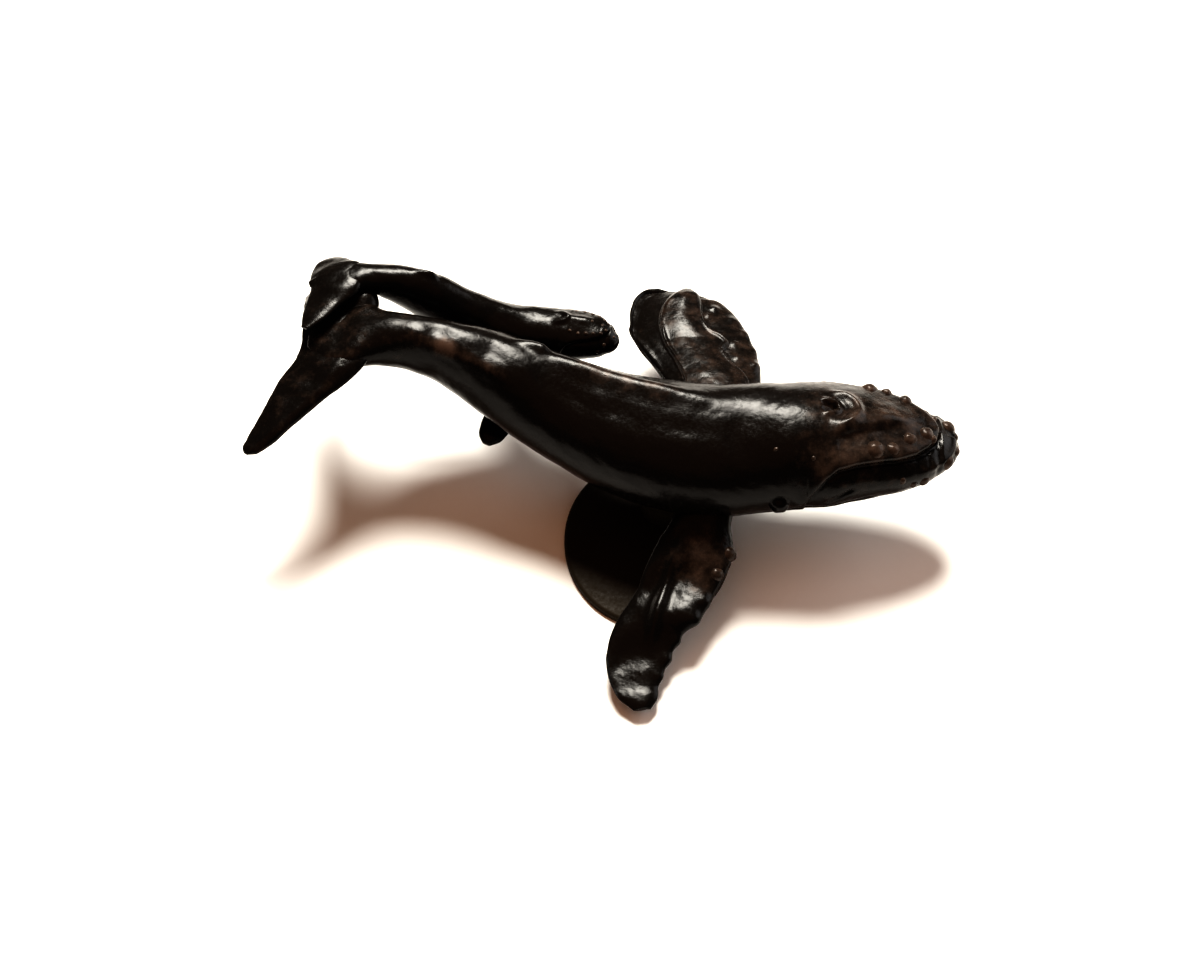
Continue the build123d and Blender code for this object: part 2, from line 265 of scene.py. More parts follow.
def crease(points, places, width, height, fade=(0.3, 0.3), count=48):
    """A raised fold along a smooth path of places, or a cut where the height is negative. It dies away over
    the shares of its length given for its two ends."""
    path = flow(places, np.linspace(0, 1, count))
    far, beside = path_distance(points, path, 3 * width)
    ends = smooth_step(beside, 0, max(fade[0], 0.01)) * smooth_step(1 - beside, 0, max(fade[1], 0.01))
    return height * ends * np.exp(-((far / width) ** 2)) * (far < 3 * width)


def hand_marks(points, size, depth, seed, waves=28):
    """The unevenness of hand-modelled wax: low hollows and humps about a size across."""
    chance = np.random.default_rng(seed)
    heading = chance.normal(size=(waves, 3))
    heading /= np.linalg.norm(heading, axis=1, keepdims=True)
    heading *= 2 * math.pi / size * chance.uniform(0.6, 1.6, (waves, 1))
    phase = chance.uniform(0, 2 * math.pi, waves)
    total = np.zeros(points.shape[:-1])
    for wave, start in zip(heading, phase):
        total += np.sin(points @ wave + start)
    return depth * total / math.sqrt(waves / 2)


def run_together(rings, other, reach, height):
    """The fillet where one form of a casting runs into another: the skin rises near the other's skin."""
    places = other.reshape(-1, 3)
    tree = KDTree(len(places))
    for i, place in enumerate(places):
        tree.insert(place, i)
    tree.balance()
    far = np.array([tree.find(place)[2] for place in rings.reshape(-1, 3)]).reshape(rings.shape[:2])
    return height * np.exp(-((far / reach) ** 2))


def skin_object(name, rings, material, rub_and_sheen):
    """A smooth closed mesh over rings in millimetres, with each point's share of rubbed metal and of painted
    warm sheen.
    """
    count, around = rings.shape[:2]
    ends = np.array([rings[0].mean(0), rings[-1].mean(0)])
    points = np.concatenate([rings.reshape(-1, 3), ends]) * MM
    grid = np.arange(count * around).reshape(count, around)
    turned = np.roll(grid, -1, axis=1)
    quads = np.stack([grid[:-1], turned[:-1], turned[1:], grid[1:]], axis=-1).reshape(-1, 4)
    first = [(count * around, b, a) for a, b in zip(grid[0], turned[0])]
    last = [(count * around + 1, a, b) for a, b in zip(grid[-1], turned[-1])]
    mesh = bpy.data.meshes.new(name)
    mesh.from_pydata(points.tolist(), [], quads.tolist() + first + last)
    mesh.polygons.foreach_set("use_smooth", [True] * len(mesh.polygons))
    rub_and_sheen = np.broadcast_to(rub_and_sheen, (count, around))
    worn_and_sheen = np.concatenate([np.clip(rub_and_sheen, 0, 1).reshape(-1), [rub_and_sheen[0].mean(), rub_and_sheen[-1].mean()]])
    mesh.attributes.new("rub_and_sheen", "FLOAT", "POINT").data.foreach_set("value", worn_and_sheen.astype(np.float32))
    mesh.materials.append(material)
    mesh.update()
    made = bpy.data.objects.new(name, mesh)
    bpy.context.scene.collection.objects.link(made)
    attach(made, "root")
    return made


cow_rows = [
    (41.8, 5.7, 13.5, 0.7, 0.5, 0.5),
    (41.3, 5.7, 13.5, 2.0, 1.3, 1.3),
    (40.2, 5.7, 13.6, 3.4, 2.1, 2.2),
    (38.0, 5.7, 13.8, 5.2, 3.2, 3.3),
    (35.0, 5.7, 14.0, 6.7, 4.2, 4.3),
    (30.0, 5.7, 14.3, 8.1, 5.5, 5.6),
    (24.0, 5.5, 14.4, 9.1, 6.5, 6.6),
    (16.0, 5.2, 14.2, 9.3, 7.5, 7.5),
    (8.0, 4.8, 14.0, 9.6, 7.9, 7.9),
    (0.0, 6.3, 14.2, 9.0, 7.8, 7.8),
    (-8.0, 9.4, 14.8, 7.8, 7.0, 7.0),
    (-15.0, 12.7, 16.1, 6.6, 6.4, 6.4),
    (-22.0, 15.9, 18.1, 5.3, 5.6, 5.6),
    (-29.0, 17.8, 20.2, 3.7, 4.5, 4.5),
    (-35.0, 18.5, 21.3, 3.8, 3.6, 3.6),
    (-37.6, 18.7, 21.6, 4.6, 2.9, 2.9),
    (-39.8, 18.9, 21.9, 6.0, 2.1, 2.1),
    (-43.5, 19.1, 22.1, 5.6, 1.2, 1.2),
    (-46.2, 19.2, 22.1, 3.0, 0.6, 0.6),
]
cow_bronze = patinated_bronze("patinated bronze, cow")
head_share = 0.36
head_shares = np.linspace(0, head_share, 190, endpoint=False)
cow_shares = np.concatenate([head_shares, np.linspace(head_share, 1, 160)])
cow = limb_rings(cow_rows, cow_shares, 240, square=2.1)
cow_line = flow(cow_rows, cow_shares)
along_cow = cow_line[:, :1]

# Degrees round a whale's ring at which its crown lies
crown = 94.0


def degrees_from_crown(rings):
    """Degrees from the crown of each point of a ring, positive on the right side."""
    angle = np.arange(rings.shape[1]) * 360 / rings.shape[1]
    return (crown - angle + 180) % 360 - 180


def spots(rings, line, marks, side=1):
    """Places on a whale's skin: distances along X, and degrees from the crown towards the right side (1) or
    the left (-1)."""
    found = []
    for along, degrees in marks:
        i = int(np.abs(line[:, 0] - along).argmin())
        j = round((crown - degrees * side) / 360 * rings.shape[1]) % rings.shape[1]
        found.append(rings[i, j])
    return found


def above_line(rings, line, marks):
    """How far each point of a head's skin lies above a line round it, towards the crown. The marks give the
    line's degrees from the crown at distances along X, and beyond them there is no line."""
    marks = np.array(marks)
    from_crown = np.abs(degrees_from_crown(rings))
    half = np.interp(line[:, 0], marks[:, 0], marks[:, 1])
    radius = np.linalg.norm(rings - line[:, None, :3], axis=-1)
    rate = np.clip(np.radians(np.gradient(half, line[:, 0]))[:, None] * radius, -6, 6)
    above = np.radians(half[:, None] - from_crown) * radius / np.sqrt(1 + rate ** 2)
    beyond = (line[:, 0] < marks[0, 0]) | (line[:, 0] > marks[-1, 0])
    return np.where(beyond[:, None], -1e3, above)


def mouth_cut(above, width, step, reach):
    """The mouth: the upper lip stands proud of the lower jaw, with a cut between them."""
    lip = step * np.tanh(above / width) * np.exp(-((above / reach) ** 2))
    return lip - step * np.exp(-(((above + 0.4 * width) / width) ** 2))


cow_mouth = [
    (17.6, 112), (20.2, 102), (21.4, 86), (22.7, 72), (24.3, 62), (26.6, 58),
    (29.4, 56), (32.2, 54), (35.1, 47), (36.8, 37), (38.1, 22), (38.8, 2),
]
mouth_edge = above_line(cow, cow_line, cow_mouth)
cow_lift = mouth_cut(mouth_edge, width=0.4, step=0.48, reach=2.0) * smooth_step(along_cow, 17.6, 19.5)

# Step from the rostrum's ridge down to the shelf of the lip, on the right side
right_of_crown = degrees_from_crown(cow)
shelf_edge = above_line(cow, cow_line, [(22.5, 29), (25.3, 25), (28.7, 18), (32.4, 9), (35.5, 6)])
shelf_step = 0.5
shelf_width = 0.3
shelf_reach = 1.9
shelf = shelf_step * np.tanh(shelf_edge / shelf_width) * np.exp(-((shelf_edge / shelf_reach) ** 2))
shelf = shelf * smooth_step(right_of_crown, -6, 6)
cow_lift += shelf * smooth_step(along_cow, 23.0, 25.5) * (1 - smooth_step(along_cow, 30.0, 35.0))

# Near flank worked flat below the ridge of the back, deepest along its middle and dying away above and below
flat_depth = 1.4
flat_middle = 25
flat_spread = np.where(right_of_crown < flat_middle, 31, 67)
flat_run = smooth_step(along_cow, -20.0, -11.0) * (1 - smooth_step(along_cow, 11.0, 19.0))
cow_lift -= flat_depth * flat_run * np.exp(-(((right_of_crown - flat_middle) / flat_spread) ** 2))

# Single folds: ridge of the back and its rubbed band, dorsal fin, muscle of the tail stock and its rubbed
# band, ridge of the rostrum, splash guard, hollow behind it. Marks, width, height, rubbed share, fading ends
cow_folds = [
    ([(-19, -19), (-13, -20), (-5.7, -18), (0, -16), (6, -12), (13, -6)], 1.5, 0.7, 0.12, (0.25, 0.45)),
    ([(-16, -20), (-6, -17), (3, -13), (10, -6)], 2.2, 0.02, 0.35, (0.3, 0.4)),
    ([(-21.5, -20), (-18, -23), (-15, -21)], 0.9, 0.85, 0.2, (0.7, 0.3)),
    ([(-36, 32), (-31, 38), (-27, 44), (-21, 42), (-16, 34)], 1.3, 0.35, 0.4, (0.3, 0.3)),
    ([(-30, 42), (-28, 41), (-26, 42)], 1.6, 0.05, 0.5, (0.4, 0.4)),
    ([(28.0, 0), (32, 0), (37, -1)], 1.9, 0.3, 0.1, (0.3, 0.4)),
    ([(23.6, -20), (26.2, -16), (27.3, -7), (27.4, 2), (26.6, 11), (23.6, 20)], 0.6, 0.5, 0.1, (0.25, 0.3)),
    ([(22.4, -12), (25.0, -9), (25.8, -1), (25.0, 7), (22.4, 12)], 0.5, -0.35, 0.0, (0.4, 0.4)),
]
# Folds of both sides: blowhole and its lip, rim of the lower jaw, corner of the mouth, grooves of the throat
side_folds = [
    ([(22.6, 4), (23.8, 2), (24.8, 1)], 0.3, -0.8, 0.0, (0.3, 0.1)),
    ([(22.6, 8), (24.0, 6), (25.2, 2)], 0.35, 0.25, 0.0, (0.3, 0.3)),
    ([(35.0, 80), (38.3, 66), (40.0, 48), (40.6, 20), (40.7, 0)], 0.5, 0.3, 0.1, (0.4, 0.05)),
    ([(27.0, 86), (26.2, 88), (24.3, 97), (22.5, 109)], 0.28, -0.4, 0.0, (0.2, 0.3)),
]
throat_grooves = 4
first_groove = 114
groove_spacing = 14
for number in range(throat_grooves):
    low = first_groove + groove_spacing * number
    groove = [(30 - 2 * number, low - 8), (24, low + 2), (18, low + 8), (9, low + 12)]
    side_folds.append((groove, 0.3, -0.3, 0.0, (0.1, 0.5)))

cow_rub_and_sheen = np.zeros(cow.shape[:2])
for sides, folds in (((1,), cow_folds), ((1, -1), side_folds)):
    for marks, width, height, rubbed, fade in folds:
        for side in sides:
            fold = crease(cow, spots(cow, cow_line, marks, side), width, height, fade)
            cow_lift += fold
            cow_rub_and_sheen += rubbed * np.abs(fold / height)

# Eyes: a low dome with a small pit in its lower side
eye_radius = 1.3
eye_rise = 1.25
for side in (1, -1):
    eye, pit = spots(cow, cow_line, [(16.6, 102), (16.6, 107)], side)
    from_eye = np.linalg.norm(cow - eye, axis=-1)
    cow_lift += eye_rise * np.sqrt(np.clip(1 - (from_eye / eye_radius) ** 2, 0, 1))
    cow_lift += swell(cow, pit, radius=0.36, height=-0.5)

# Swell of the nape, two dents in the tail stock, and the unevenness of the wax
nape, front_dent, rear_dent = spots(cow, cow_line, [(23.5, 4), (-22.3, 14), (-29.0, 14)])
cow_lift += swell(cow, nape, radius=6.0, height=0.5)
for dent in (front_dent, rear_dent):
    cow_lift += swell(cow, dent, radius=1.8, height=-0.28)
cow_lift += hand_marks(cow, 5.0, 0.03, seed=3) + hand_marks(cow, 1.6, 0.008, seed=4)

# Brown of the head, stronger above the mouth and on the cheek: partly rubbed wear and partly painted warm
# sheen. Rubbed wear of the tail
head_rub_and_sheen = 0.2
upper_jaw_rub_and_sheen = 0.16
tail_rub = 0.3
cheek = spots(cow, cow_line, [(25.0, 44)])[0]
above_mouth = smooth_step(mouth_edge, -0.3, 0.3)
cow_rub_and_sheen += smooth_step(along_cow, 12.0, 27.0) * (head_rub_and_sheen + upper_jaw_rub_and_sheen * above_mouth)
cow_rub_and_sheen += swell(cow, cheek, radius=6.0, height=0.15)
cow_rub_and_sheen += tail_rub * smooth_step(-along_cow, 26.0, 40.0)

# Flukes of the same casting, left tip to right tip
fluke_rows = [
    (-47.2, 33.6, 15.2, 0.4, 0.3),
    (-46.8, 32.8, 16.2, 1.3, 0.7),
    (-45.8, 31.0, 18.6, 2.3, 0.9),
    (-44.4, 28.4, 21.0, 3.6, 1.1),
    (-43.2, 25.2, 22.6, 4.3, 1.3),
    (-42.3, 21.7, 22.5, 5.0, 1.4),
    (-42.3, 16.9, 22.1, 5.0, 1.4),
    (-44.1, 13.2, 21.2, 4.3, 1.2),
    (-46.7, 10.1, 20.3, 3.6, 1.1),
    (-50.1, 5.4, 18.8, 2.3, 0.9),
    (-52.4, 2.5, 17.7, 1.5, 0.75),
    (-53.1, 1.7, 17.5, 1.0, 0.55),
    (-53.4, 1.2, 17.4, 0.3, 0.25),
]
flukes = limb_rings(fluke_rows, np.linspace(0, 1, 280), 128, thin=0.5)
fluke_lift = hand_marks(flukes, 4.0, 0.03, seed=5) + hand_marks(flukes, 1.5, 0.008, seed=6)


def on_top(rings, marks):
    """Places on the upper side of a blade, at distances along X and Y."""
    upper = rings[:, : rings.shape[1] // 2 + 1].reshape(-1, 3)
    return [upper[((upper[:, :2] - mark) ** 2).sum(1).argmin()] for mark in marks]


# Rounded band of the leading edge, the web between the far lobe and the tail stock, and the fillets that
# run stock and flukes together
band = on_top(flukes, [(-40.0, 14.5), (-44.2, 9.0), (-48.6, 4.6), (-52.0, 1.6)])
web = (-38.7, 24.8, 22.6)
stock_middle = 19.0
stock_sinks = 0.3
fluke_rub = 0.22
fluke_lift += crease(flukes, band, width=1.0, height=0.25)
fluke_lift += swell(flukes, web, radius=2.2, height=0.8)
beside_stock = smooth_step(np.abs(flukes[..., 1] - stock_middle), 2.5, 6.0)
stock = cow_line[:, 0] < -34
fluke_lift += run_together(flukes, cow[stock], reach=2.0, height=0.3) * beside_stock
cow_lift -= stock_sinks * smooth_step(-along_cow, 39.0, 42.5)
cow_lift[stock] += run_together(cow[stock], flukes, reach=1.6, height=0.2)
flukes = flukes + ring_normals(flukes) * fluke_lift[..., None]
skin_object("cow_flukes", flukes, cow_bronze, fluke_rub)

cow = cow + ring_normals(cow) * cow_lift[..., None]
cow_body = skin_object("cow_body_skin", cow, cow_bronze, cow_rub_and_sheen)
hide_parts("cow_body")


# Tubercles of the cow. Round knobs of wax set on the snout, the lips and the cheeks before casting, so each
# meets the skin in a sharp crease and is rubbed brighter than the skin round it.
knob_lump_mm = 1.2
knob_rub = 0.6
knob_tree = bpy.data.node_groups.new("knobs on skin", "GeometryNodeTree")
for socket, kind in (
    ("Geometry", "NodeSocketGeometry"),
    ("Unevenness", "NodeSocketFloat"),
    ("Bronze", "NodeSocketMaterial"),
):
    knob_tree.interface.new_socket(socket, in_out="INPUT", socket_type=kind)
knob_tree.interface.new_socket("Geometry", in_out="OUTPUT", socket_type="NodeSocketGeometry")
given = add_node(knob_tree, "NodeGroupInput")
ball = add_node(knob_tree, "GeometryNodeMeshIcoSphere", {"Radius": 1.0, "Subdivisions": 4})
ball_size = add_node(knob_tree, "GeometryNodeInputNamedAttribute", {"Name": "size"}, data_type="FLOAT")
placed = add_node(
    knob_tree,
    "GeometryNodeInstanceOnPoints",
    {"Points": given.outputs["Geometry"], "Instance": ball.outputs["Mesh"], "Scale": ball_size.outputs[0]},
)
real = add_node(knob_tree, "GeometryNodeRealizeInstances", {"Geometry": placed.outputs[0]})
lumps = add_node(knob_tree, "ShaderNodeTexNoise", {"Scale": 1 / (knob_lump_mm * MM), "Detail": 2.0})
centred = add_node(
    knob_tree,
    "ShaderNodeVectorMath",
    {0: lumps.outputs["Color"], 1: (0.5, 0.5, 0.5)},
    operation="SUBTRACT",
)
pushed = add_node(
    knob_tree,
    "ShaderNodeVectorMath",
    {0: centred.outputs[0], "Scale": given.outputs["Unevenness"]},
    operation="SCALE",
)
lumpy = add_node(
    knob_tree, "GeometryNodeSetPosition", {"Geometry": real.outputs[0], "Offset": pushed.outputs[0]}
)
smooth = add_node(knob_tree, "GeometryNodeSetShadeSmooth", {"Geometry": lumpy.outputs[0]})
handled = add_node(
    knob_tree,
    "GeometryNodeStoreNamedAttribute",
    {"Geometry": smooth.outputs[0], "Name": "rub_and_sheen", "Value": knob_rub},
    data_type="FLOAT",
    domain="POINT",
)
finished = add_node(
    knob_tree,
    "GeometryNodeSetMaterial",
    {"Geometry": handled.outputs[0], "Material": given.outputs["Bronze"]},
)
add_node(knob_tree, "NodeGroupOutput", {"Geometry": finished.outputs[0]})


def knob_piece(name, knobs, material, unevenness=0.35):
    """Knobs as one plain mesh, from rows of place and radius."""
    knobs = np.array(knobs) * MM
    points = bpy.data.meshes.new(name + "_places")
    points.from_pydata(knobs[:, :3].tolist(), [], [])
    sizes = points.attributes.new("size", "FLOAT", "POINT")
    sizes.data.foreach_set("value", knobs[:, 3].astype(np.float32))
    carrier = bpy.data.objects.new(name + "_places", points)
    bpy.context.scene.collection.objects.link(carrier)
    modifier = carrier.modifiers.new("knobs", "NODES")
    modifier.node_group = knob_tree
    inputs = {item.name: item.identifier for item in knob_tree.interface.items_tree if item.in_out == "INPUT"}
    modifier[inputs["Unevenness"]] = unevenness * MM
    modifier[inputs["Bronze"]] = material
    seen = carrier.evaluated_get(bpy.context.evaluated_depsgraph_get())
    mesh = bpy.data.meshes.new_from_object(seen)
    mesh.name = name
    bpy.data.objects.remove(carrier)
    made = bpy.data.objects.new(name, mesh)
    bpy.context.scene.collection.objects.link(made)
    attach(made, "root")
    return made


def knob_on(rings, line, outward, knob, side):
    """The place and radius of a knob that is sunk into a whale's skin by a share of its radius."""
    sunk_share = 0.6
    along, degrees, radius = knob
    seat = spots(rings, line, [(along, degrees)], side)[0]
    out = spots(outward, line, [(along, degrees)], side)[0]
    return (*(seat - sunk_share * radius * out), radius)


# Knobs of the two sides: distance along X, degrees from the crown, radius
right_head_knobs = [
    (29.2, 40, 1.5), (31.7, 39, 1.1), (34.0, 25, 1.15), (36.5, 15, 1.25), (37.5, 24, 0.75), (39.9, 74, 1.2),
    (36.7, 102, 1.0), (35.1, 98, 0.7), (33.3, 84, 0.6), (41.2, 50, 0.9), (16.3, 40, 0.35), (21.1, 49, 0.4),
]
left_head_knobs = [
    (29.8, 50, 1.3), (31.9, 50, 0.95), (34.5, 46, 1.1), (35.8, 50, 0.9), (37.2, 47, 1.1), (38.6, 40, 0.9),
    (40.6, 44, 1.3), (41.3, 26, 1.0), (39.9, 76, 1.1), (36.7, 102, 1.0), (34.0, 90, 0.7),
]
cow_outward = ring_normals(cow)
tubercles = [knob_on(cow, cow_line, cow_outward, knob, 1) for knob in right_head_knobs]
tubercles += [knob_on(cow, cow_line, cow_outward, knob, -1) for knob in left_head_knobs]
knob_piece("cow_tubercles", tubercles, cow_bronze)


# Pins. Short steel rods in bores across the seams. They key the flippers and the calf to the castings that
# carry them while the seams are brazed, and none of them shows afterwards.
show_in(steel, "cow_flipper_pins", "calf_flipper_pins", "calf_flank_pin", "calf_fluke_pin")


# Cow's right flipper. A long bronze blade cast by itself, keyed to the flank by a pin and brazed, with a
# knobbed leading edge, a crest along its arm bone and a spoon-shaped tip.
right_rows = [
    (8.2, 0.6, 10.8, 3.9, 2.4),
    (7.0, -3.7, 9.4, 3.9, 2.2),
    (6.2, -7.0, 8.0, 5.0, 1.9),
    (4.4, -10.4, 6.6, 5.0, 1.65),
    (2.6, -13.7, 5.3, 4.7, 1.45),
    (0.6, -16.2, 4.4, 4.2, 1.3),
    (-0.9, -18.6, 3.6, 4.2, 1.15),
    (-1.8, -20.9, 2.9, 4.0, 1.05),
    (-2.2, -23.2, 2.4, 3.6, 0.9),
    (-2.1, -25.3, 1.9, 2.9, 0.75),
    (-1.7, -26.9, 1.6, 2.2, 0.6),
    (-1.4, -28.3, 1.4, 0.9, 0.4),
]
right_blade = limb_rings(right_rows, np.linspace(0, 1, 260), 160, pitch=-6.0, thin=0.35)


def upper_side(rings, softness):
    """1 on the upper side of a blade's rings and 0 on the lower, with a soft change at the edges."""
    return smooth_step(np.sin(ring_angles(rings.shape[1])), 0.0, softness)


def level_off(rings, centre, reach, slopes):
    """A place on the upper side of a blade that was worked nearly level, against the blade's own slopes."""
    away = rings - centre
    near = np.exp(-((np.linalg.norm(away, axis=-1) / reach) ** 4))
    return -(away[..., :2] @ np.array(slopes)) * near * upper_side(rings, 0.3)


crest_marks = [(5.2, -5.0), (3.4, -8.8), (2.3, -11.4), (1.2, -14.4), (0.0, -19.3), (-0.7, -22.0)]
palm, spoon = on_top(right_blade, [(3.6, -14.0), (-0.6, -24.0)])
right_lift = crease(right_blade, on_top(right_blade, crest_marks), 0.9, 0.7, (0.35, 0.3))
right_lift += level_off(right_blade, palm, reach=4.2, slopes=(-0.08, 0.34))
right_lift += level_off(right_blade, spoon, reach=5.0, slopes=(-0.2, 0.2))


def edge_bumps(rings, bumps):
    """Low bumps on the upper side of a blade: distances along X and Y, radius, height."""
    total = np.zeros(rings.shape[:2])
    for along, across, radius, height in bumps:
        total += swell(rings, on_top(rings, [(along, across)])[0], radius, height)
    return total


right_edge_bumps = [
    (7.2, -14.6, 0.9, 0.35), (5.6, -17.0, 0.9, 0.45), (3.5, -19.4, 0.8, 0.35),
    (2.4, -21.6, 0.9, 0.45), (1.6, -24.0, 0.8, 0.3),
]
right_lift += edge_bumps(right_blade, right_edge_bumps)
right_lift += hand_marks(right_blade, 4.0, 0.02, seed=7) + hand_marks(right_blade, 1.4, 0.006, seed=8)
right_blade = right_blade + ring_normals(right_blade) * right_lift[..., None]
right_rub = swell(right_blade, on_top(right_blade, [(6.6, -9.5)])[0], radius=5.0, height=0.55)
right_flipper = skin_object("cow_right_flipper_blade", right_blade, cow_bronze, right_rub)
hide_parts("cow_right_flipper")

# Two large knobs at the shoulder end of the leading edge, sunk inwards and down
knob_sinks = (0.3, 0.0, 0.6)
inner_knob, outer_knob = np.array(on_top(right_blade, [(10.6, -8.2), (9.0, -11.0)])) - knob_sinks
knob_piece("cow_right_flipper_knobs", [(*inner_knob, 1.15), (*outer_knob, 1.0)], cow_bronze)


# Cow's left flipper. A broader bronze blade, cast and fixed in the same way, with the arm raised along its
# middle like a tongue. Behind the arm the blade falls away to a thin rim.
left_rows = [
    (8.6, 10.0, 11.2, 4.2, 2.4),
    (9.3, 15.5, 10.7, 5.6, 2.0),
    (9.3, 21.2, 10.6, 7.0, 1.6),
    (7.9, 26.6, 10.4, 7.8, 1.4),
    (6.3, 30.2, 10.3, 8.2, 1.25),
    (5.0, 33.8, 10.0, 7.7, 1.1),
    (3.9, 36.9, 9.8, 6.0, 0.95),
    (3.6, 39.2, 9.5, 4.1, 0.75),
    (3.8, 40.3, 9.4, 1.8, 0.45),
]
left_blade = limb_rings(left_rows, np.linspace(0, 1, 260), 240, pitch=4.0, lead=-1, thin=0.35)


def deep_inside(points, outline, reach):
    """How far points lie inside an outline seen from above, up to the reach, and 0 outside it."""
    flat = points[..., :2]
    far, _ = path_distance(flat, np.concatenate([outline, outline[:1]]), reach)
    crossed = np.zeros(flat.shape[:-1], bool)
    for (ax, ay), (bx, by) in zip(outline, np.roll(outline, -1, axis=0)):
        beside = (ay > flat[..., 1]) != (by > flat[..., 1])
        rise = by - ay if by != ay else 1e-9
        crossed ^= beside & (flat[..., 0] < (bx - ax) * (flat[..., 1] - ay) / rise + ax)
    return np.where(crossed, far, 0.0)


# The arm's outline seen from above: its rear edge from the tip to the root, and its front edge back again
arm_rear_marks = [
    (5.8, 39.6), (4.4, 38.4), (2.6, 35.8), (1.9, 31.8), (2.4, 27.6), (3.9, 23.6), (4.8, 21.0), (5.0, 12.0),
]
arm_front_marks = [
    (14.0, 12.0), (14.0, 20.6), (12.0, 23.6), (11.2, 26.0), (11.9, 27.2), (11.2, 28.8),
    (9.6, 30.0), (8.5, 32.8), (8.4, 35.4), (8.2, 37.4), (7.0, 39.3),
]
arm_rear = flow([(x, y, 0) for x, y in arm_rear_marks], np.linspace(0, 1, 40))[:, :2]
arm_front = flow([(x, y, 0) for x, y in arm_front_marks], np.linspace(0, 1, 50))[:, :2]
arm_reach = 8.0
arm = deep_inside(left_blade, np.concatenate([arm_rear, arm_front]), arm_reach)

# The arm stands up in a step with a low dome on it, dips towards the wrist, then climbs and ends at the tip
arm_step = 0.75
arm_dome = 0.4
elbow = 20.0
wrist = 28.0
knuckles = 36.0
dip_slope = 0.06
climb_slope = 0.12
outwards = left_blade[..., 1]
arm_rise = climb_slope * (np.clip(outwards, wrist, knuckles) - wrist)
arm_rise -= dip_slope * (np.clip(outwards, elbow, wrist) - elbow)
arm_rise *= 1 - smooth_step(outwards, 37.0, 40.2)
left_lift = arm_step * smooth_step(arm, 0.0, 0.4) + arm_dome * smooth_step(arm, 0.0, 3.2)
left_lift += arm_rise * smooth_step(arm, 0.0, 1.0)

# The blade behind the arm, with its rim
fall_slope = 0.24
fall_run = 5.0
from_arm, _ = path_distance(left_blade[..., :2], arm_rear, arm_reach)
behind_arm = left_blade[..., 0] < np.interp(outwards, arm_rear[::-1, 1], arm_rear[::-1, 0])
left_lift -= behind_arm * fall_slope * np.minimum(from_arm, fall_run)
left_lift *= upper_side(left_blade, 0.25)
rim_marks = [(3.0, 40.4), (-0.6, 38.6), (-2.4, 34.5), (-2.2, 31.0), (-0.6, 27.6), (1.6, 23.4), (2.8, 20.0)]
left_lift += crease(left_blade, on_top(left_blade, rim_marks), 0.5, 0.2, (0.1, 0.3))
left_edge_bumps = [
    (10.2, 35.4, 0.8, 0.35), (9.2, 33.8, 0.6, 0.2), (12.8, 27.6, 0.8, 0.2), (13.2, 24.6, 0.8, 0.2),
    (15.6, 23.6, 0.8, 0.3), (14.4, 30.4, 0.9, 0.2), (12.6, 33.2, 0.9, 0.2), (15.8, 27.0, 0.9, 0.2),
]
left_lift += edge_bumps(left_blade, left_edge_bumps)
left_lift += hand_marks(left_blade, 4.0, 0.02, seed=9) + hand_marks(left_blade, 1.4, 0.006, seed=10)
left_blade = left_blade + ring_normals(left_blade) * left_lift[..., None]
arm_rub = 0.34
rear_rub = 0.15
left_rub = np.where(behind_arm, rear_rub, arm_rub)
left_flipper = skin_object("cow_left_flipper_blade", left_blade, cow_bronze, left_rub)
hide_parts("cow_left_flipper")


# Calf's body. A second bronze casting with its own flukes, modelled in wax like the cow, pinned and brazed to
# the cow's flank and to the far lobe of her flukes.
calf_rows = [
    (-4.0, 22.4, 17.4, 0.5, 0.5, 0.5),
    (-4.6, 22.4, 17.3, 1.6, 1.3, 1.3),
    (-6.0, 22.7, 17.2, 2.7, 2.2, 2.2),
    (-8.6, 23.3, 17.0, 3.5, 2.9, 2.9),
    (-13.0, 24.2, 16.6, 3.9, 3.3, 3.3),
    (-19.0, 24.9, 16.6, 3.8, 3.6, 3.6),
    (-25.0, 25.8, 18.9, 3.2, 3.3, 3.6),
    (-30.5, 26.7, 22.1, 2.8, 3.1, 4.2),
    (-35.5, 27.2, 24.0, 2.3, 2.3, 3.0),
    (-39.5, 26.9, 25.0, 2.2, 1.2, 1.2),
    (-42.5, 26.2, 25.0, 2.4, 0.8, 0.8),
    (-44.6, 25.8, 24.9, 1.5, 0.4, 0.4),
]
calf_bronze = patinated_bronze("patinated bronze, calf")
calf_head_share = 0.25
calf_head_shares = np.linspace(0, calf_head_share, 110, endpoint=False)
calf_shares = np.concatenate([calf_head_shares, np.linspace(calf_head_share, 1, 170)])
calf = limb_rings(calf_rows, calf_shares, 160)
calf_line = flow(calf_rows, calf_shares)
calf_mouth = [
    (-11.8, 108), (-11.2, 88), (-10.6, 72), (-9.4, 62), (-7.6, 56), (-6.2, 46), (-5.5, 28), (-5.1, 2),
]
calf_mouth_edge = above_line(calf, calf_line, calf_mouth)
calf_lift = mouth_cut(calf_mouth_edge, width=0.25, step=0.22, reach=1.2)

